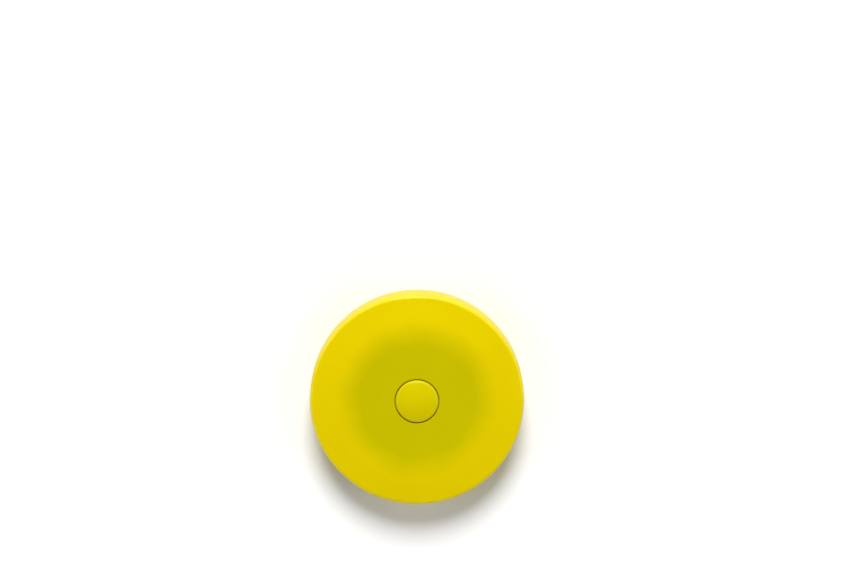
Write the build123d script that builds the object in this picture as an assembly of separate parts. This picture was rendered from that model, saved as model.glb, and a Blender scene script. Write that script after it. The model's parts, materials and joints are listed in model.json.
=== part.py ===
from build123d import *
import os
from math import radians, tan

# A small round retractable tape measure. Millimetres.
# The origin is on the case axis at the back face; +Z comes out of the front face, through the button.
# The tape leaves the case along -X, in the plane of the outermost turn of its coil.

# Case: two shallow shells that meet at mid height
CASE_RADIUS = 25.0
CASE_THICKNESS = 10.2        # back flat to front flat, without the button
WALL = 0.9
SHOULDER_ANGLE = 8.5         # slope of the outer face, from the flat middle down to the rim
SHOULDER_BEND_RADIUS = 17.5  # where the flat and the slope would meet if the bend were sharp
SHOULDER_ROUNDING = 29.0
RIM_ROUNDING = 1.0
INNER_ROUNDING = 0.3
PARTING_GROOVE = 0.3         # side of the square that cuts the visible joint line
TONGUE_THICKNESS = 1.0       # ring on the back shell that snaps inside the front shell
TONGUE_RISE = 1.8
TONGUE_CLEARANCE = 0.06
SNAP_BEAD = 0.18
SNAP_CLEARANCE = 0.05

# Button
BUTTON_HOLE_RADIUS = 5.24
BUTTON_RADIUS = 5.02
BUTTON_RISE = 1.2
BUTTON_DOME = 16.0
BUTTON_ROUNDING = 0.7
BUTTON_FLANGE_RADIUS = 6.4
BUTTON_FLANGE = 0.65
BUTTON_STEM_RADIUS = 2.0
BUTTON_SKIN = 1.0
BUTTON_TRAVEL = 0.6          # the reel, the thrust cap and the button drop by this together

# Tape, wound as half circles that each step in by half a pitch
TAPE_WIDTH = 6.0
TAPE_THICKNESS = 0.3
TAPE_HALF_PITCH = 0.165
TAPE_HALF_TURNS = 28
COIL_RADIUS = 20.1

# Reel and brake
DRUM_RADIUS = 15.1
DRUM_WALL = 1.0
WEB_THICKNESS = 1.0
FLANGE_RADIUS = 20.3
FLANGE_THICKNESS = 0.35
FLANGE_GAP = 0.05
FLANGE_HOLE_RADIUS = 1.2
FLANGE_HOLES = 8
PIN_RADIUS = 1.94
PIN_LENGTH = 2.5
BRAKE_RIB_RADII = (9.0, 10.0)
BRAKE_RING_RADII = (8.2, 10.8)
BRAKE_RING_THICKNESS = 0.8
BRAKE_SEAT_DEPTH = 0.2
KEY_THICKNESS = 0.56

# Arbor, thrust cap and the two springs
ARBOR_RADIUS = 3.0
ARBOR_BORE_RADIUS = 2.0
ARBOR_BOSS_RADIUS = 4.4
ARBOR_BOSS_HEIGHT = 0.5
SOCKET_FLOOR = 0.45
THRUST_CAP_RADIUS = 1.92
THRUST_CAP_HEIGHT = 1.0
THRUST_SPIGOT_RADIUS = 1.1
THRUST_SPIGOT_HEIGHT = 0.7
BRAKE_SPRING_RADIUS = 1.55
BRAKE_SPRING_WIRE = 0.34
BRAKE_SPRING_TURNS = 4
STRIP_THICKNESS = 0.15
STRIP_HEIGHT = 3.7
STRIP_PACKED_HALF_TURNS = 14
STRIP_PACKED_STEP = 0.09
STRIP_LOOSE_HALF_TURNS = 13
COVER_THICKNESS = 0.3
COVER_CLEARANCE = 0.05
RUNNING_CLEARANCE = 0.08

# End clip, folded from sheet over the end of the tape, and the mouth it rests in
CLIP_SHEET = 0.35
CLIP_LENGTH = 4.6
CLIP_WIDTH = 6.2
CLIP_CORNER = 0.7
CLIP_END_X = -14.6
RIVET_RADIUS = 0.6
RIVET_HEAD_RADIUS = 1.0
RIVET_HEAD = 0.25
RIVET_BORE = 0.3
MOUTH_WIDTH = 6.4
MOUTH_HEIGHT = 2.4
MOUTH_CORNER = 0.6
MOUTH_INNER_X = -8.0

# Levels that several pieces share
MIDDLE = CASE_THICKNESS / 2
FLOOR = WALL
CEILING = CASE_THICKNESS - WALL
COIL_BOTTOM = MIDDLE - TAPE_WIDTH / 2
COIL_TOP = MIDDLE + TAPE_WIDTH / 2
CAVITY_RADIUS = CASE_RADIUS - WALL
TONGUE_RADIUS = CAVITY_RADIUS - TONGUE_CLEARANCE
SNAP_LEVEL = MIDDLE + 0.65 * TONGUE_RISE
BRAKE_LEVEL = CEILING - 1.0              # where the rubber ring meets the rib
WEB_TOP = BRAKE_LEVEL - BRAKE_RING_THICKNESS + BRAKE_SEAT_DEPTH
WEB_BOTTOM = WEB_TOP - WEB_THICKNESS
FLANGE_BOTTOM = COIL_TOP + FLANGE_GAP
FLANGE_TOP = FLANGE_BOTTOM + FLANGE_THICKNESS
PIN_END = WEB_BOTTOM - PIN_LENGTH        # where the reel's pin stands on the thrust cap
ARBOR_TOP = WEB_BOTTOM - BUTTON_TRAVEL - 0.1
ARBOR_BOSS_TOP = FLOOR + ARBOR_BOSS_HEIGHT
THRUST_CAP_BOTTOM = PIN_END - THRUST_CAP_HEIGHT
STRIP_BOTTOM = COIL_BOTTOM + 0.6
STRIP_TOP = STRIP_BOTTOM + STRIP_HEIGHT
TAPE_Y = TAPE_THICKNESS / 2 - COIL_RADIUS     # middle of the straight run
CLIP_THICKNESS = TAPE_THICKNESS + 2 * CLIP_SHEET
RIVET_X = CLIP_END_X + 0.55 * CLIP_LENGTH


def disc(radius, low, high):
    return Pos(0, 0, low) * extrude(Circle(radius), high - low)


def ring(outer, inner, low, high):
    return Pos(0, 0, low) * extrude(Circle(outer) - Circle(inner), high - low)


def block(x_range, y_range, z_range):
    """Box given by its lowest and highest corner on each axis."""
    spans = (x_range, y_range, z_range)
    centre = [(low + high) / 2 for low, high in spans]
    return Pos(*centre) * Box(*[high - low for low, high in spans])


def turned(*edges):
    """Solid turned about Z from a closed outline given as radius and height."""
    return revolve(Plane.XZ * make_face(Curve() + list(edges)), Axis.Z)


def turned_bead(radius, height, size):
    return revolve(Plane.XZ * (Pos(radius, height) * Circle(size)), Axis.Z)


def half_case(inset):
    """Upper half of the case's outer form, drawn in by the inset on every side."""
    angle = radians(SHOULDER_ANGLE)
    wall_radius = CASE_RADIUS - inset
    flat = CASE_THICKNESS - inset
    bend_radius = SHOULDER_BEND_RADIUS - inset * tan(angle / 2)
    rim_height = flat - (wall_radius - bend_radius) * tan(angle)
    rim_rounding = max(RIM_ROUNDING - inset, INNER_ROUNDING)
    outside = FilletPolyline(
        (wall_radius, MIDDLE),
        (wall_radius, rim_height),
        (bend_radius, flat),
        (0, flat),
        radius=[rim_rounding, SHOULDER_ROUNDING - inset],
    )
    return turned(outside, Polyline((0, flat), (0, MIDDLE), (wall_radius, MIDDLE)))


def to_back(solid):
    """The same form on the back half of the case."""
    return mirror(solid, Plane.XY.offset(MIDDLE))


def mouth():
    """Rounded slot through the rim, level with the straight run of tape."""
    section = Pos(TAPE_Y, MIDDLE) * RectangleRounded(MOUTH_HEIGHT, MOUTH_WIDTH, MOUTH_CORNER)
    outside_x = -1.2 * CASE_RADIUS
    return extrude(Plane.YZ.offset(outside_x) * section, MOUTH_INNER_X - outside_x)


def parting_groove():
    corner = Pos(CASE_RADIUS, MIDDLE) * Rot(0, 0, 45) * Rectangle(PARTING_GROOVE, PARTING_GROOVE)
    return revolve(Plane.XZ * corner, Axis.Z)


def front_shell():
    shell = half_case(0) - half_case(WALL)
    shell -= disc(BUTTON_HOLE_RADIUS, MIDDLE, CASE_THICKNESS)
    hole_edge = shell.edges().filter_by(GeomType.CIRCLE).filter_by_position(
        Axis.Z, CASE_THICKNESS - 0.01, CASE_THICKNESS + 0.01
    ).sort_by(SortBy.RADIUS)[0]
    shell = fillet(hole_edge, 0.12)
    rib_inner, rib_outer = BRAKE_RIB_RADII
    shell += ring(rib_outer, rib_inner, BRAKE_LEVEL, CEILING)
    shell -= turned_bead(TONGUE_RADIUS, SNAP_LEVEL, SNAP_BEAD + SNAP_CLEARANCE)
    return shell - parting_groove() - mouth()


def back_shell():
    shell = to_back(half_case(0) - half_case(WALL))
    tongue_inner = TONGUE_RADIUS - TONGUE_THICKNESS
    shell += ring(CAVITY_RADIUS, tongue_inner, MIDDLE - 1.5 * TONGUE_RISE, MIDDLE)
    shell += ring(TONGUE_RADIUS, tongue_inner, MIDDLE, MIDDLE + TONGUE_RISE)
    shell += turned_bead(TONGUE_RADIUS, SNAP_LEVEL, SNAP_BEAD)
    shell += disc(ARBOR_BOSS_RADIUS, FLOOR, ARBOR_BOSS_TOP)
    shell -= disc(ARBOR_RADIUS, SOCKET_FLOOR, ARBOR_BOSS_TOP)
    return shell - parting_groove() - mouth()


def press_button():
    """Domed cap with a stop flange under the front shell and a stem that stands on the reel."""
    top = CASE_THICKNESS + BUTTON_RISE
    flange_top = CEILING - 0.05
    flange_bottom = flange_top - BUTTON_FLANGE
    dome_edge = top - BUTTON_DOME + (BUTTON_DOME**2 - BUTTON_RADIUS**2) ** 0.5
    profile = make_face(
        RadiusArc((0, top), (BUTTON_RADIUS, dome_edge), BUTTON_DOME)
        + Polyline((BUTTON_RADIUS, dome_edge), (BUTTON_RADIUS, flange_bottom), (0, flange_bottom), (0, top))
    )
    profile = fillet(profile.vertices().sort_by_distance((BUTTON_RADIUS, dome_edge))[0], BUTTON_ROUNDING)
    cap = revolve(Plane.XZ * profile, Axis.Z)
    cap += ring(BUTTON_FLANGE_RADIUS, BUTTON_RADIUS - 0.5, flange_bottom, flange_top)
    cap -= ring(BUTTON_RADIUS - BUTTON_SKIN, BUTTON_STEM_RADIUS, flange_bottom, top - 1.6 * BUTTON_SKIN)
    return cap + disc(BUTTON_STEM_RADIUS, BRAKE_LEVEL, flange_top)


def reel():
    """Drum closed by a web at the front, with one flange, a centre pin and a seat for the brake ring."""
    drum_inner = DRUM_RADIUS - DRUM_WALL
    body = ring(DRUM_RADIUS, drum_inner, COIL_BOTTOM, FLANGE_TOP) + disc(DRUM_RADIUS, WEB_BOTTOM, WEB_TOP)
    body += ring(FLANGE_RADIUS, drum_inner, FLANGE_BOTTOM, FLANGE_TOP)
    body += disc(BUTTON_STEM_RADIUS, WEB_TOP, BRAKE_LEVEL)
    body += disc(PIN_RADIUS, PIN_END, WEB_BOTTOM)
    ring_inner, ring_outer = BRAKE_RING_RADII
    body -= ring(ring_outer, ring_inner, WEB_TOP - BRAKE_SEAT_DEPTH, WEB_TOP)
    body -= disc(drum_inner + 0.4, COIL_BOTTOM, COIL_BOTTOM + COVER_THICKNESS)
    window = disc(FLANGE_HOLE_RADIUS, FLANGE_BOTTOM, FLANGE_TOP)
    for place in PolarLocations((FLANGE_RADIUS + DRUM_RADIUS) / 2, FLANGE_HOLES):
        body -= place * window
    tail_slot = TAPE_THICKNESS + KEY_THICKNESS
    body -= block((0, tail_slot), (-DRUM_RADIUS - 0.1, -drum_inner + 0.1), (STRIP_BOTTOM, STRIP_TOP))
    strip_slot = (-0.05, STRIP_THICKNESS + 0.05)
    return body - block(strip_slot, (drum_inner - 0.1, DRUM_RADIUS), (STRIP_BOTTOM - 0.1, STRIP_TOP + 0.1))


def brake_ring():
    inner, outer = BRAKE_RING_RADII
    return ring(outer, inner, BRAKE_LEVEL - BRAKE_RING_THICKNESS, BRAKE_LEVEL)


def spring_cover():
    cover = disc(DRUM_RADIUS - DRUM_WALL + 0.4 - COVER_CLEARANCE, COIL_BOTTOM, COIL_BOTTOM + COVER_THICKNESS)
    return cover - disc(ARBOR_RADIUS + RUNNING_CLEARANCE, COIL_BOTTOM, COIL_BOTTOM + COVER_THICKNESS)


def spiral(radii, thickness):
    """Strip wound anticlockwise from the outside in: half circles that meet on the Y axis.

    The list gives the outer surface's distance from the centre at the bottom, the top, the bottom
    and so on."""
    edges = []
    for offset in (0, thickness):
        ends = [(radius - offset) * (-1) ** (step + 1) for step, radius in enumerate(radii)]
        for step, (start, end) in enumerate(zip(ends, ends[1:])):
            side = abs(end - start) / 2 * (-1) ** step
            edges.append(ThreePointArc((0, start), (side, (start + end) / 2), (0, end)))
    first, last = radii[0], radii[-1] * (-1) ** len(radii)
    inward = -thickness * (-1) ** len(radii)
    edges.append(Line((0, -first), (0, -first + thickness)))
    edges.append(Line((0, last), (0, last + inward)))
    return make_face(Curve() + edges)


def tape_coil():
    radii = [COIL_RADIUS - step * TAPE_HALF_PITCH for step in range(TAPE_HALF_TURNS + 1)]
    coil = Pos(0, 0, COIL_BOTTOM) * extrude(spiral(radii, TAPE_THICKNESS), TAPE_WIDTH)
    tail = block((0, TAPE_THICKNESS), (-radii[-1], -DRUM_RADIUS + DRUM_WALL), (STRIP_BOTTOM, STRIP_TOP))
    return coil + tail


def tape_key():
    """Wedge that holds the tape's tail in the drum's slot."""
    y_range = (-DRUM_RADIUS, -DRUM_RADIUS + DRUM_WALL)
    return block((TAPE_THICKNESS, TAPE_THICKNESS + KEY_THICKNESS), y_range, (STRIP_BOTTOM, STRIP_TOP))


def power_spring():
    """Flat strip, packed against the drum, then loose in to the arbor, with a tab at each end."""
    outer = DRUM_RADIUS - DRUM_WALL - 0.1
    radii = [outer - step * STRIP_PACKED_STEP for step in range(STRIP_PACKED_HALF_TURNS)]
    inner = ARBOR_RADIUS + STRIP_THICKNESS + 0.05
    loose_step = (radii[-1] - inner) / STRIP_LOOSE_HALF_TURNS
    radii += [radii[-1] - loose_step * (step + 1) for step in range(STRIP_LOOSE_HALF_TURNS)]
    strip = Pos(0, 0, STRIP_BOTTOM) * extrude(spiral(radii, STRIP_THICKNESS), STRIP_HEIGHT)
    height = (STRIP_BOTTOM, STRIP_TOP)
    drum_tab = block((0, STRIP_THICKNESS), (outer - STRIP_THICKNESS, outer + 0.8), height)
    arbor_tab = block((-STRIP_THICKNESS, 0), (ARBOR_BORE_RADIUS + 0.15, inner), height)
    return strip.rotate(Axis.Z, 180) + drum_tab + arbor_tab


def spring_arbor():
    post = disc(ARBOR_RADIUS, SOCKET_FLOOR, ARBOR_TOP) - disc(ARBOR_BORE_RADIUS, FLOOR, ARBOR_TOP)
    half_slot = STRIP_THICKNESS + 0.1
    return post - block((-half_slot, half_slot), (0, ARBOR_RADIUS), (STRIP_BOTTOM - 0.1, ARBOR_TOP))


def thrust_cap():
    cap = disc(THRUST_CAP_RADIUS, THRUST_CAP_BOTTOM, PIN_END)
    return cap + disc(THRUST_SPIGOT_RADIUS, THRUST_CAP_BOTTOM - THRUST_SPIGOT_HEIGHT, THRUST_CAP_BOTTOM)


def brake_spring():
    height = THRUST_CAP_BOTTOM - FLOOR - BRAKE_SPRING_WIRE
    path = Helix(pitch=height / BRAKE_SPRING_TURNS, height=height, radius=BRAKE_SPRING_RADIUS)
    section = Plane(path @ 0, z_dir=path % 0) * Circle(BRAKE_SPRING_WIRE / 2)
    return Pos(0, 0, FLOOR + BRAKE_SPRING_WIRE / 2) * sweep(section, path, is_frenet=True)


def across_tape(radius, y_range):
    """Round bar across the tape's thickness at the rivet."""
    low, high = y_range
    return extrude(Plane((RIVET_X, low, MIDDLE), z_dir=(0, 1, 0)) * Circle(radius), high - low)


def around_tape(distance):
    """Span in Y that reaches the same distance to each side of the straight tape."""
    return (TAPE_Y - distance, TAPE_Y + distance)


def folded_end(thickness):
    """Half-round end and flat sides of a sheet folded over the tape, seen along Z."""
    fold_x = CLIP_END_X + CLIP_THICKNESS / 2
    flat = Pos(fold_x + CLIP_LENGTH / 2, TAPE_Y) * Rectangle(CLIP_LENGTH, thickness)
    return flat + Pos(fold_x, TAPE_Y) * Circle(thickness / 2)


def end_clip():
    clip = Pos(0, 0, COIL_BOTTOM - 1) * extrude(
        folded_end(CLIP_THICKNESS) - folded_end(TAPE_THICKNESS), TAPE_WIDTH + 2
    )
    centre_x = CLIP_END_X + CLIP_LENGTH / 2
    plan = RectangleRounded(CLIP_LENGTH, CLIP_WIDTH, CLIP_CORNER)
    low, high = around_tape(CLIP_THICKNESS)
    clip &= extrude(Plane((centre_x, low, MIDDLE), x_dir=(1, 0, 0), z_dir=(0, 1, 0)) * plan, high - low)
    return clip - across_tape(RIVET_RADIUS, (low, high))


def tape_lead():
    """Straight run of tape, from the coil to inside the clip."""
    fold_x = CLIP_END_X + CLIP_THICKNESS / 2
    run = block((fold_x, 0), around_tape(TAPE_THICKNESS / 2), (COIL_BOTTOM, COIL_TOP))
    return run - across_tape(RIVET_RADIUS, around_tape(TAPE_THICKNESS))


def clip_rivet():
    half_grip = CLIP_THICKNESS / 2
    rivet = across_tape(RIVET_RADIUS, around_tape(half_grip))
    rivet += across_tape(RIVET_HEAD_RADIUS, (TAPE_Y + half_grip, TAPE_Y + half_grip + RIVET_HEAD))
    rivet += across_tape(RIVET_HEAD_RADIUS, (TAPE_Y - half_grip - RIVET_HEAD, TAPE_Y - half_grip))
    return rivet - across_tape(RIVET_BORE, around_tape(half_grip + RIVET_HEAD))


PIECES = [
    front_shell,
    back_shell,
    press_button,
    reel,
    brake_ring,
    spring_cover,
    tape_coil,
    tape_key,
    tape_lead,
    end_clip,
    clip_rivet,
    power_spring,
    spring_arbor,
    thrust_cap,
    brake_spring,
]

os.makedirs("parts", exist_ok=True)
for piece in PIECES:
    export_step(piece(), f"parts/{piece.__name__}.step")
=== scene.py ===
import json
import math

import bmesh
import bpy
import numpy as np
from mathutils import Matrix, Vector


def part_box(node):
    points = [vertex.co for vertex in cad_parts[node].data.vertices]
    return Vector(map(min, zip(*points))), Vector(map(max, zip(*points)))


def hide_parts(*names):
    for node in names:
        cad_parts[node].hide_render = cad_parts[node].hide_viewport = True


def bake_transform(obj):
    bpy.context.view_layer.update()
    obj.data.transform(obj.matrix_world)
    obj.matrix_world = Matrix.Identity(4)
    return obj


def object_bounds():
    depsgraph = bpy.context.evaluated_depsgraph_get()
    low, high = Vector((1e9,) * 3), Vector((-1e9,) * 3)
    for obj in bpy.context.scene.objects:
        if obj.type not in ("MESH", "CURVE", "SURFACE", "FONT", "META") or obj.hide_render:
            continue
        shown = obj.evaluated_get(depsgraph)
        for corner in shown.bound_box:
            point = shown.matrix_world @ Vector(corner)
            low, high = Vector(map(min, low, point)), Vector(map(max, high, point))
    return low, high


MM = 0.001

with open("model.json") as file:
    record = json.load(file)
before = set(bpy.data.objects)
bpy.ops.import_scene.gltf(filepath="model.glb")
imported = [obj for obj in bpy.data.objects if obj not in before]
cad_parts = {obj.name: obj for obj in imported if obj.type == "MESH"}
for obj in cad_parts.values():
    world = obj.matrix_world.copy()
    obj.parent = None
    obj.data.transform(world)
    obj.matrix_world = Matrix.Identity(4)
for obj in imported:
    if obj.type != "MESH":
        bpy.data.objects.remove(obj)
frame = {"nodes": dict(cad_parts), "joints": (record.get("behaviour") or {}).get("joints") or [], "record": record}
cad_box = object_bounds()
nodes = frame["nodes"]
joints = {joint["name"]: joint for joint in frame["joints"]}


# ---- Camera ----------------------------------------------------------------------------------
# Almost square on to the face, from a little towards +Y, with +Y up in the picture. The case
# hangs low in the picture, so the camera's own axis passes above it.

def place_camera(low, high):
    tilt = math.radians(11.7)
    distance = 0.78
    aim_right, aim_up = 2.0 * MM, 27.4 * MM
    picture_width = 0.1985
    face_level = 0.85  # the face as a share of the whole height, which the button adds to
    sensor_width = 36
    centre = Vector(((low.x + high.x) / 2, (low.y + high.y) / 2, high.z * face_level))
    towards = Vector((0, math.sin(tilt), math.cos(tilt)))
    picture_up = Vector((0, math.cos(tilt), -math.sin(tilt)))
    position = centre + distance * towards
    forward = (centre + aim_right * Vector((1, 0, 0)) + aim_up * picture_up - position).normalized()
    right = forward.cross(Vector((0, 1, 0))).normalized()
    up = right.cross(forward)
    data = bpy.data.cameras.new("camera")
    data.sensor_width = sensor_width
    data.lens = sensor_width * distance / picture_width
    data.clip_start, data.clip_end = 0.02, 10
    camera = bpy.data.objects.new("camera", data)
    bpy.context.scene.collection.objects.link(camera)
    facing = Matrix((right, up, -forward)).transposed().to_4x4()
    camera.matrix_world = Matrix.Translation(position) @ facing
    bpy.context.scene.camera = camera


# ---- Node helpers ----------------------------------------------------------------------------

class Nodes:
    """A new material's node tree, with short calls for the nodes that the materials share. A size
    or depth is in metres."""

    def __init__(self, name):
        self.material = bpy.data.materials.new(name)
        self.material.use_nodes = True
        self.tree = self.material.node_tree
        self.shader = self.tree.nodes["Principled BSDF"]
        self.place = self.add("ShaderNodeTexCoord").outputs["Object"]

    def add(self, kind, **settings):
        node = self.tree.nodes.new(kind)
        for name, value in settings.items():
            setattr(node, name, value)
        return node

    def link(self, source, target):
        self.tree.links.new(source, target)

    def stretch(self, scale):
        """Object coordinates times a scale on each axis."""
        mapping = self.add("ShaderNodeMapping")
        mapping.inputs["Scale"].default_value = scale
        self.link(self.place, mapping.inputs["Vector"])
        return mapping.outputs["Vector"]

    def noise(self, size, detail=3.0, where=None, roughness=0.55):
        """Noise whose features are about this size."""
        node = self.add("ShaderNodeTexNoise")
        node.inputs["Scale"].default_value = 1 / size
        node.inputs["Detail"].default_value = detail
        node.inputs["Roughness"].default_value = roughness
        self.link(where or self.place, node.inputs["Vector"])
        return node.outputs["Fac"]

    def from_axis(self):
        """Distance from the case's axis."""
        node = self.add("ShaderNodeVectorMath", operation="LENGTH")
        self.link(self.stretch((1, 1, 0)), node.inputs[0])
        return node.outputs["Value"]

    def on_roundings(self):
        """1 on roundings between a face and a rim, and 0 where the surface faces along or across
        the case's axis."""
        split = self.add("ShaderNodeSeparateXYZ")
        self.link(self.add("ShaderNodeTexCoord").outputs["Normal"], split.inputs["Vector"])
        upright = self.maths("ABSOLUTE", split.outputs["Z"], 0)
        off_rim = self.spread(upright, 0, 1, 0.1, 0.5)
        return self.maths("MULTIPLY", off_rim, self.spread(upright, 1, 0, 0.8, 0.96))

    def spread(self, value, low, high, from_low=0.0, from_high=1.0):
        """The value's range from from_low to from_high stretched to low to high, and clamped."""
        node = self.add("ShaderNodeMapRange")
        for name, number in (
            ("From Min", from_low), ("From Max", from_high), ("To Min", low), ("To Max", high)
        ):
            node.inputs[name].default_value = number
        self.link(value, node.inputs["Value"])
        return node.outputs["Result"]

    def blend(self, factor, first, second):
        """Colour between two colours, each a socket or four numbers."""
        node = self.add("ShaderNodeMix", data_type="RGBA")
        self.link(factor, node.inputs["Factor"])
        for index, colour in ((6, first), (7, second)):
            if hasattr(colour, "links"):
                self.link(colour, node.inputs[index])
            else:
                node.inputs[index].default_value = colour
        return node.outputs[2]

    def maths(self, operation, first, second):
        node = self.add("ShaderNodeMath", operation=operation)
        for socket, value in zip(node.inputs, (first, second)):
            if hasattr(value, "links"):
                self.link(value, socket)
            else:
                socket.default_value = value
        return node.outputs[0]

    def tone(self, shade, factor):
        """The colour made lighter or darker by a factor near 1."""
        node = self.add("ShaderNodeVectorMath", operation="SCALE")
        self.link(shade, node.inputs[0])
        self.link(factor, node.inputs["Scale"])
        return node.outputs[0]

    def bump(self, height, depth, normal=None):
        """Bump of this depth, on top of another normal if there is one."""
        node = self.add("ShaderNodeBump")
        node.inputs["Distance"].default_value = depth
        self.link(height, node.inputs["Height"])
        if normal:
            self.link(normal, node.inputs["Normal"])
        return node.outputs["Normal"]

    def set(self, **values):
        """Sets the shader's own sockets; underscores stand for spaces."""
        for name, value in values.items():
            self.shader.inputs[name.replace("_", " ")].default_value = value

    def feed(self, **sources):
        for name, source in sources.items():
            self.link(source, self.shader.inputs[name.replace("_", " ")])


def colour(red, green, blue):
    """Linear colour from the 0 to 255 values of a screen colour."""
    def linear(value):
        value /= 255
        return value / 12.92 if value <= 0.04045 else ((value + 0.055) / 1.055) ** 2.4
    return (linear(red), linear(green), linear(blue), 1)


# ---- Materials -------------------------------------------------------------------------------

def moulded_yellow(name, seed_shift, middle_shade, shoulder_light, edge_highlight):
    """Satin injection-moulded plastic. Painted shade and light: the colour is darker over the flat
    middle of the face and lighter and warmer out over the sloped shoulder. On top of that come
    faint flow variation, a very fine grain, a little waviness, hairline handling marks and
    painted highlights, pale and patchy, on the roundings at the rims."""
    m = Nodes(name)
    # Painted shade and light: the colour runs from the darker tone on the flat of the face to the lighter, warmer
    # tone where the shoulder slopes, across a slightly wandering ring.
    ramp_start, ramp_end = 13.3 * MM, 18.8 * MM
    wander = m.spread(m.noise(9 * MM, detail=1), -0.5 * MM, 0.5 * MM, 0.3, 0.7)
    painted_shade_ramp = m.spread(m.maths("ADD", m.from_axis(), wander), 0, 1, ramp_start, ramp_end)
    shifted = m.add("ShaderNodeMapping")
    shifted.inputs["Location"].default_value = (seed_shift, seed_shift * 0.7, seed_shift * 0.3)
    m.link(m.place, shifted.inputs["Vector"])
    m.place = shifted.outputs["Vector"]
    body = m.blend(painted_shade_ramp, middle_shade, shoulder_light)
    flow = m.noise(14 * MM, detail=2)
    body = m.tone(body, m.spread(flow, 0.985, 1.015, 0.35, 0.65))
    specks = m.spread(m.noise(0.25 * MM, detail=1), 0, 0.35, 0.70, 0.80)
    body = m.blend(specks, body, colour(232, 214, 0))
    # Painted highlights: pale, whitish patches on the roundings between the faces and the rims.
    highlight_patches = m.spread(m.noise(2.5 * MM, detail=4), 0.4 * edge_highlight, edge_highlight, 0.3, 0.7)
    painted_highlight = m.maths("MULTIPLY", m.on_roundings(), highlight_patches)
    body = m.blend(painted_highlight, body, colour(243, 229, 66))
    marks = m.noise(0.35 * MM, detail=4, where=m.stretch((1.0, 0.06, 1.0)))
    marks = m.spread(marks, 0, 1, 0.66, 0.74)
    grain = m.noise(0.12 * MM, detail=2)
    waves = m.noise(5 * MM, detail=1)
    satin = m.spread(grain, 0.32, 0.40, 0.3, 0.7)
    rough = m.maths("ADD", satin, m.maths("MULTIPLY", marks, 0.08))
    normal = m.bump(waves, 0.015 * MM)
    normal = m.bump(grain, 0.0015 * MM, normal)
    m.feed(Base_Color=body, Roughness=rough, Normal=normal, Coat_Normal=normal)
    m.set(
        IOR=1.5,
        Specular_IOR_Level=0.05,
        Specular_Tint=(1.0, 0.88, 0.1, 1),
        Coat_Weight=0.15,
        Coat_Roughness=0.16,
        Subsurface_Weight=0.15,
        Subsurface_Scale=0.5 * MM,
        Subsurface_Radius=(1.0, 0.75, 0.1),
    )
    return m.material


def white_acetal():
    m = Nodes("white_acetal")
    tint = m.noise(3 * MM)
    m.feed(
        Base_Color=m.blend(tint, colour(226, 226, 220), colour(240, 240, 236)),
        Roughness=m.spread(m.noise(0.3 * MM), 0.38, 0.5),
        Normal=m.bump(m.noise(0.2 * MM), 0.003 * MM),
    )
    m.set(Subsurface_Weight=0.2, Subsurface_Scale=0.8 * MM)
    return m.material


def black_rubber():
    m = Nodes("black_rubber")
    dust = m.spread(m.noise(0.6 * MM, detail=5), 0, 1, 0.5, 0.8)
    m.feed(
        Base_Color=m.blend(dust, colour(24, 24, 25), colour(52, 51, 49)),
        Roughness=m.spread(m.noise(0.2 * MM), 0.7, 0.92),
        Normal=m.bump(m.noise(0.08 * MM), 0.006 * MM),
    )
    return m.material


def turned_metal(name, dark, light, roughness):
    """Metal with fine marks that run round the case's axis."""
    m = Nodes(name)
    rings = m.noise(0.15 * MM, detail=4, where=m.stretch((1, 1, 9)))
    m.feed(
        Base_Color=m.blend(rings, dark, light),
        Roughness=m.spread(rings, roughness - 0.08, roughness + 0.1),
        Normal=m.bump(rings, 0.001 * MM),
    )
    m.set(Metallic=1.0)
    return m.material


def nickel_plate():
    """Bright plated sheet with hairline scratches along the tape and a few dull finger marks."""
    m = Nodes("nickel_plate")
    hairs = m.noise(0.08 * MM, detail=4, where=m.stretch((0.08, 1, 1)))
    smears = m.noise(1.2 * MM, detail=3)
    rough = m.maths("ADD", m.spread(hairs, 0.14, 0.26), m.spread(smears, 0, 0.1, 0.5, 0.8))
    m.feed(
        Base_Color=m.blend(smears, colour(214, 212, 206), colour(228, 226, 221)),
        Roughness=rough,
        Normal=m.bump(hairs, 0.0012 * MM),
    )
    m.set(Metallic=1.0)
    return m.material


# The distance from band to band of a wave texture, times its scale
WAVE_PITCH_TIMES_SCALE = 0.314


def vinyl_ribbon():
    """Glass-fibre ribbon under a vinyl skin: the threads show as a faint fine weave."""
    m = Nodes("vinyl_ribbon")
    warp = m.add("ShaderNodeTexWave", wave_type="BANDS", bands_direction="Z", wave_profile="SIN")
    weft = m.add("ShaderNodeTexWave", wave_type="BANDS", bands_direction="X", wave_profile="SIN")
    for wave, thread in ((warp, 0.42 * MM), (weft, 0.55 * MM)):
        wave.inputs["Scale"].default_value = WAVE_PITCH_TIMES_SCALE / thread
        wave.inputs["Distortion"].default_value = 0.3
        m.link(m.place, wave.inputs["Vector"])
    weave = m.maths("ADD", warp.outputs["Fac"], weft.outputs["Fac"])
    toned = m.blend(m.noise(6 * MM), colour(238, 233, 214), colour(245, 241, 226))
    m.feed(
        Base_Color=m.blend(m.spread(weave, 0, 0.25, 0, 2), toned, colour(214, 206, 182)),
        Roughness=m.spread(m.noise(0.3 * MM), 0.36, 0.5),
        Normal=m.bump(weave, 0.006 * MM),
    )
    m.set(Subsurface_Weight=0.1, Subsurface_Scale=0.3 * MM)
    return m.material


def scale_ink(name, low, high):
    """Printed ink, thin in places."""
    m = Nodes(name)
    m.feed(
        Base_Color=m.blend(m.noise(0.3 * MM, detail=5), low, high),
        Roughness=m.spread(m.noise(0.2 * MM), 0.4, 0.6),
    )
    return m.material


def pale_floor():
    m = Nodes("pale_floor")
    m.feed(
        Base_Color=m.blend(m.noise(60 * MM), colour(246, 246, 247), colour(250, 250, 250)),
        Roughness=m.spread(m.noise(2 * MM), 0.55, 0.7),
    )
    return m.material


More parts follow.
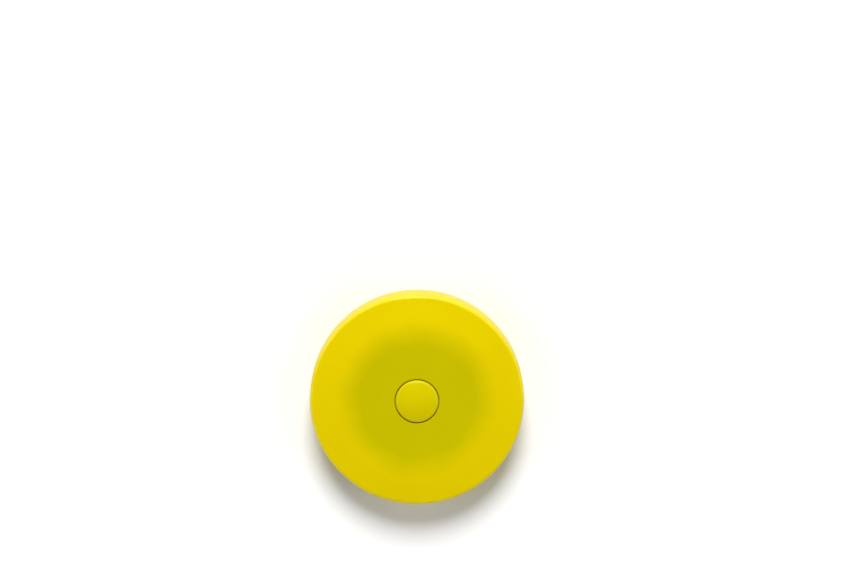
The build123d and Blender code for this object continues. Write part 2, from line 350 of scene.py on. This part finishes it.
def paint(node, *materials):
    """Puts these materials in a CAD node's slots."""
    slots = nodes[node].data.materials
    slots.clear()
    for material in materials:
        slots.append(material)


# ---- The tape outside the coil ---------------------------------------------------------------
# An inner run lies beside the coil and ends a little beyond the reel's flange. From there a ribbon
# goes on to the clip. At rest the ribbon's whole length is folded up along that short way. The scale
# is laid out for the pulled tape, where each point has moved by its share of the pull, and taken
# back to rest with the same share.

FLANGE_MARGIN = 0.4 * MM    # from the reel's flange to a point LEVELLING_RUN short of where the ribbon begins
LEVELLING_RUN = 1.9 * MM
CLIP_MARGIN = 0.2 * MM      # from the clip to where the ribbon has its full share of the pull
SHARE_SAMPLES = 40001
INNER_RUN_STATIONS = 40
RIBBON_STATIONS = 240
EDGE_STEPS = 6              # around each long edge's half circle
VINYL, BLACK_INK, RED_INK = 0, 1, 2  # places in the ribbon's list of materials


class Ribbon:
    """Where the tape outside the coil runs, at rest and pulled out."""

    def __init__(self):
        low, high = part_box("tape_lead")
        clip_low, clip_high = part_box("end_clip")
        self.low, self.high = low, high
        self.tip = clip_low.x
        middle_y, middle_z = (low.y + high.y) / 2, (low.z + high.z) / 2
        reel_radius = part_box("reel")[1].x
        flange_edge = -math.sqrt(reel_radius**2 - middle_y**2)
        self.bend = Vector((flange_edge - FLANGE_MARGIN, middle_y, middle_z))
        self.start = self.bend + Vector((-LEVELLING_RUN, 0, 0))
        self.end = Vector((clip_high.x + CLIP_MARGIN, self.start.y, self.start.z))
        pull, turns = joints["tape_pull"], joints["reel_spin"]
        coupling = next(
            c for c in frame["record"]["behaviour"]["couplings"] if c["joint"] == pull["name"]
        )
        self.pull = coupling["ratio"] * math.radians(turns["range_deg"][1])
        self.rest = np.linspace(low.x, high.x, SHARE_SAMPLES)
        along = np.clip((self.rest - self.start.x) / (self.end.x - self.start.x), 0, 1)
        self.pulled = self.rest - self.pull * along * along * (3 - 2 * along)

    def at_rest(self, pulled_x):
        """X at rest of points given by their pulled-out X."""
        return np.interp(pulled_x, self.pulled, self.rest)

    def from_tip(self, distance):
        """Pulled-out X of a point at this distance from the clip's end."""
        return self.tip - self.pull + distance


class Solids:
    """Closed shapes gathered into one mesh, with a material number for each face."""

    def __init__(self):
        self.points, self.faces, self.kinds, self.count = [], [], [], 0

    def add(self, points, faces, kind):
        self.points.append(np.asarray(points, float))
        self.faces += [tuple(index + self.count for index in face) for face in faces]
        self.kinds += [kind] * len(faces)
        self.count += len(points)

    def mesh(self, name, materials):
        mesh = bpy.data.meshes.new(name)
        mesh.from_pydata(np.concatenate(self.points).tolist(), [], self.faces)
        for material in materials:
            mesh.materials.append(material)
        mesh.polygons.foreach_set("material_index", self.kinds)
        mesh.update()
        return mesh


BLOCK_FACES = [(0, 1, 3, 2), (4, 6, 7, 5), (0, 4, 5, 1), (2, 3, 7, 6), (0, 2, 6, 4), (1, 5, 7, 3)]


def block(x_span, y_span, z_span):
    return [(x, y, z) for x in x_span for y in y_span for z in z_span]


def ribbon_band(ribbon, stations, solids):
    """Plain ribbon through these places along X, with its long edges rounded."""
    half_width = (ribbon.high.z - ribbon.low.z) / 2
    half_thickness = (ribbon.high.y - ribbon.low.y) / 2
    middle = ribbon.start
    section = []
    for half_turn, side in enumerate((1, -1)):
        for step in range(EDGE_STEPS + 1):
            turn = math.pi * (step / EDGE_STEPS + half_turn)
            section.append((
                middle.y + half_thickness * math.cos(turn),
                middle.z + side * (half_width - half_thickness) + half_thickness * math.sin(turn),
            ))
    count = len(section)
    points = [(x, y, z) for x in stations for y, z in section]
    faces = []
    for row in range(0, (len(stations) - 1) * count, count):
        for i in range(count):
            after = (i + 1) % count
            faces.append((row + i, row + after, row + count + after, row + count + i))
    faces.append(tuple(reversed(range(count))))
    faces.append(tuple(range(len(points) - count, len(points))))
    solids.add(points, faces, VINYL)


DIGIT_HEIGHT_SHARE = 0.69   # a digit's height as a share of the font's size
DIGIT_ADVANCE = 0.82        # from digit to digit, as a share of their height
DIGIT_HEIGHT = 2.1 * MM
DIGIT_BASE = 3.0 * MM       # from the tape's edge to the feet of the digits
INK_DEPTH = 0.012 * MM
THIN_MARK, THICK_MARK = 0.16 * MM, 0.22 * MM
MARK_LENGTHS = {"short": 1.25 * MM, "middle": 1.9 * MM, "long": 2.6 * MM}


def digit_shapes(height, depth):
    """Each digit as points and faces: X along the text, Y up it, Z out of the face."""
    shapes = {}
    for digit in "0123456789":
        text = bpy.data.curves.new("digit", "FONT")
        text.body = digit
        text.size = height / DIGIT_HEIGHT_SHARE
        text.extrude = depth / 2
        text.resolution_u = 3
        text.align_x = "CENTER"
        holder = bpy.data.objects.new("digit", text)
        mesh = bpy.data.meshes.new_from_object(holder)
        points = np.array([vertex.co for vertex in mesh.vertices])
        shapes[digit] = (points, [tuple(polygon.vertices) for polygon in mesh.polygons])
        bpy.data.objects.remove(holder)
        bpy.data.curves.remove(text)
        bpy.data.meshes.remove(mesh)
    return shapes


def print_scale(ribbon, solids, face_side, unit, divisions, count, middle_marks, ink):
    """Marks and numbers on one face, up to this count of units, each with its divisions.
    face_side is -1 for the face towards -Y, where the numbers stand upright along +Z, and 1 for
    the other face, where they stand the other way up. Every middle_marks-th mark is longer."""
    surface = ribbon.start.y + face_side * (ribbon.high.y - ribbon.low.y) / 2
    upright = -face_side
    foot = ribbon.start.z - upright * (ribbon.high.z - ribbon.low.z) / 2
    y_span = sorted((surface - face_side * INK_DEPTH, surface + face_side * INK_DEPTH))
    for mark in range(1, count * divisions + 1):
        if mark % divisions == 0:
            kind = "long"
        else:
            kind = "middle" if mark % middle_marks == 0 else "short"
        centre = ribbon.from_tip(mark * unit / divisions)
        width = THIN_MARK if kind == "short" else THICK_MARK
        x_span = ribbon.at_rest(np.array([centre - width / 2, centre + width / 2]))
        z_span = sorted((foot, foot + upright * MARK_LENGTHS[kind]))
        solids.add(block(x_span, y_span, z_span), BLOCK_FACES, ink)
    shapes = digit_shapes(DIGIT_HEIGHT, 2 * INK_DEPTH)
    advance = DIGIT_ADVANCE * DIGIT_HEIGHT
    base = foot + upright * DIGIT_BASE
    for number in range(1, count + 1):
        text = str(number)
        for place, digit in enumerate(text):
            points, faces = shapes[digit]
            offset = (place - (len(text) - 1) / 2) * advance
            pulled_x = ribbon.from_tip(number * unit) + offset + points[:, 0]
            placed = np.stack([
                ribbon.at_rest(pulled_x),
                surface - face_side * INK_DEPTH / 2 + face_side * points[:, 2],
                base + upright * points[:, 1],
            ], axis=1)
            solids.add(placed, faces, ink)


def tape_piece(name, solids, materials):
    """Object made from the solids, with all its faces outwards."""
    mesh = solids.mesh(name, materials)
    fix = bmesh.new()
    fix.from_mesh(mesh)
    bmesh.ops.recalc_face_normals(fix, faces=fix.faces)
    fix.to_mesh(mesh)
    fix.free()
    piece = bpy.data.objects.new(name, mesh)
    bpy.context.scene.collection.objects.link(piece)
    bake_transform(piece)
    return piece


def tape_outside_coil(vinyl):
    ribbon = Ribbon()
    inner_run = Solids()
    stations = np.linspace(ribbon.start.x, ribbon.high.x, INNER_RUN_STATIONS)
    ribbon_band(ribbon, stations, inner_run)
    tape_piece("inner_tape_run", inner_run, [vinyl])

    outer_run = Solids()
    pulled_stations = np.linspace(ribbon.low.x - ribbon.pull, ribbon.start.x, RIBBON_STATIONS)
    stations = ribbon.at_rest(pulled_stations)
    stations[0], stations[-1] = ribbon.low.x, ribbon.start.x
    ribbon_band(ribbon, stations, outer_run)
    print_scale(
        ribbon, outer_run, face_side=-1, unit=10 * MM, divisions=10, count=150, middle_marks=5,
        ink=BLACK_INK,
    )
    print_scale(
        ribbon, outer_run, face_side=1, unit=25.4 * MM, divisions=8, count=59, middle_marks=4,
        ink=RED_INK,
    )
    materials = [
        vinyl,
        scale_ink("black_ink", colour(20, 20, 22), colour(44, 44, 46)),
        scale_ink("red_ink", colour(172, 22, 20), colour(196, 44, 36)),
    ]
    piece = tape_piece("tape_ribbon", outer_run, materials)
    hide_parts("tape_lead")


# ---- The compression spring ------------------------------------------------------------------
# A copy of the CAD brake spring's mesh in its own material, which takes the hidden CAD node's
# place.

def compression_spring(material):
    source = nodes["brake_spring"]
    mesh = source.data.copy()
    mesh.transform(source.matrix_world)
    mesh.materials.clear()
    mesh.materials.append(material)
    piece = bpy.data.objects.new("compression_spring", mesh)
    bpy.context.scene.collection.objects.link(piece)
    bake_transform(piece)
    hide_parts("brake_spring")


# ---- Stage and light -------------------------------------------------------------------------

def lay_floor():
    reach = 3.0
    corners = [(-reach, -reach, 0), (reach, -reach, 0), (reach, reach, 0), (-reach, reach, 0)]
    mesh = bpy.data.meshes.new("floor")
    mesh.from_pydata(corners, [], [(0, 1, 2, 3)])
    mesh.materials.append(pale_floor())
    floor = bpy.data.objects.new("floor", mesh)
    bpy.context.scene.collection.objects.link(floor)


def soft_lamp(name, direction, spread, brightness):
    """Wide, distant lamp in this direction. Brightness is its share of the light on the face, where
    1 takes a white surface to full white."""
    towards = Vector(direction).normalized()
    data = bpy.data.lights.new(name, "SUN")
    data.angle = math.radians(spread)
    data.energy = math.pi * brightness / towards.z
    lamp = bpy.data.objects.new(name, data)
    bpy.context.scene.collection.objects.link(lamp)
    lamp.location = towards
    lamp.rotation_mode = "QUATERNION"
    lamp.rotation_quaternion = towards.to_track_quat("Z", "Y")


def light_scene():
    """A white backdrop for the camera to see, and dim grey surroundings for everything else, so
    that what the face mirrors stays dark."""
    world = bpy.data.worlds.new("studio")
    world.use_nodes = True
    tree = world.node_tree
    backdrop, surroundings = tree.nodes["Background"], tree.nodes.new("ShaderNodeBackground")
    seen, choice = tree.nodes.new("ShaderNodeLightPath"), tree.nodes.new("ShaderNodeMixShader")
    backdrop.inputs["Color"].default_value = (1, 1, 1, 1)
    surroundings.inputs["Color"].default_value = (0.10, 0.10, 0.10, 1)
    tree.links.new(seen.outputs["Is Camera Ray"], choice.inputs["Fac"])
    tree.links.new(surroundings.outputs["Background"], choice.inputs[1])
    tree.links.new(backdrop.outputs["Background"], choice.inputs[2])
    tree.links.new(choice.outputs["Shader"], tree.nodes["World Output"].inputs["Surface"])
    bpy.context.scene.world = world
    bpy.context.scene.view_settings.view_transform = "Standard"
    soft_lamp("top_light", (0.0, 0.74, 0.67), 28, 0.76)
    soft_lamp("left_light", (-0.9, 0.0, 0.5), 50, 0.11)
    soft_lamp("right_light", (0.9, 0.0, 0.5), 50, 0.11)
    soft_lamp("low_light", (0.0, -0.98, 0.19), 40, 0.06)


# ---- Assembly --------------------------------------------------------------------------------

place_camera(*cad_box)
# The case colours carry painted shade and light: darker over the flat middle of the face, lighter over the sloped
# shoulder. The button's colour is even.
middle_shade, shoulder_light, solid = colour(191, 179, 0), colour(217, 194, 0), colour(205, 189, 0)
# The last number sets how strong the painted highlights on the roundings are.
paint("front_shell", moulded_yellow("case_front_plastic", 0.0, middle_shade, shoulder_light, edge_highlight=0.45))
paint("back_shell", moulded_yellow("case_back_plastic", 0.11, middle_shade, shoulder_light, edge_highlight=0.45))
paint("press_button", moulded_yellow("button_plastic", 0.23, solid, solid, edge_highlight=0.15))
acetal = white_acetal()
spring_blue = turned_metal("blued_spring_steel", colour(88, 92, 104), colour(120, 124, 134), 0.3)
plain_steel = turned_metal("plain_steel", colour(176, 177, 180), colour(198, 199, 201), 0.34)
brass = turned_metal("brass", colour(196, 158, 84), colour(214, 178, 104), 0.26)
for node in ("reel", "tape_key"):
    paint(node, acetal)
paint("power_spring", spring_blue)
compression_spring(spring_blue)
for node in ("spring_arbor", "spring_cover"):
    paint(node, plain_steel)
for node in ("clip_rivet", "thrust_cap"):
    paint(node, brass)
paint("brake_ring", black_rubber())
vinyl = vinyl_ribbon()
paint("tape_coil", vinyl)
paint("end_clip", nickel_plate())
tape_outside_coil(vinyl)
lay_floor()
light_scene()
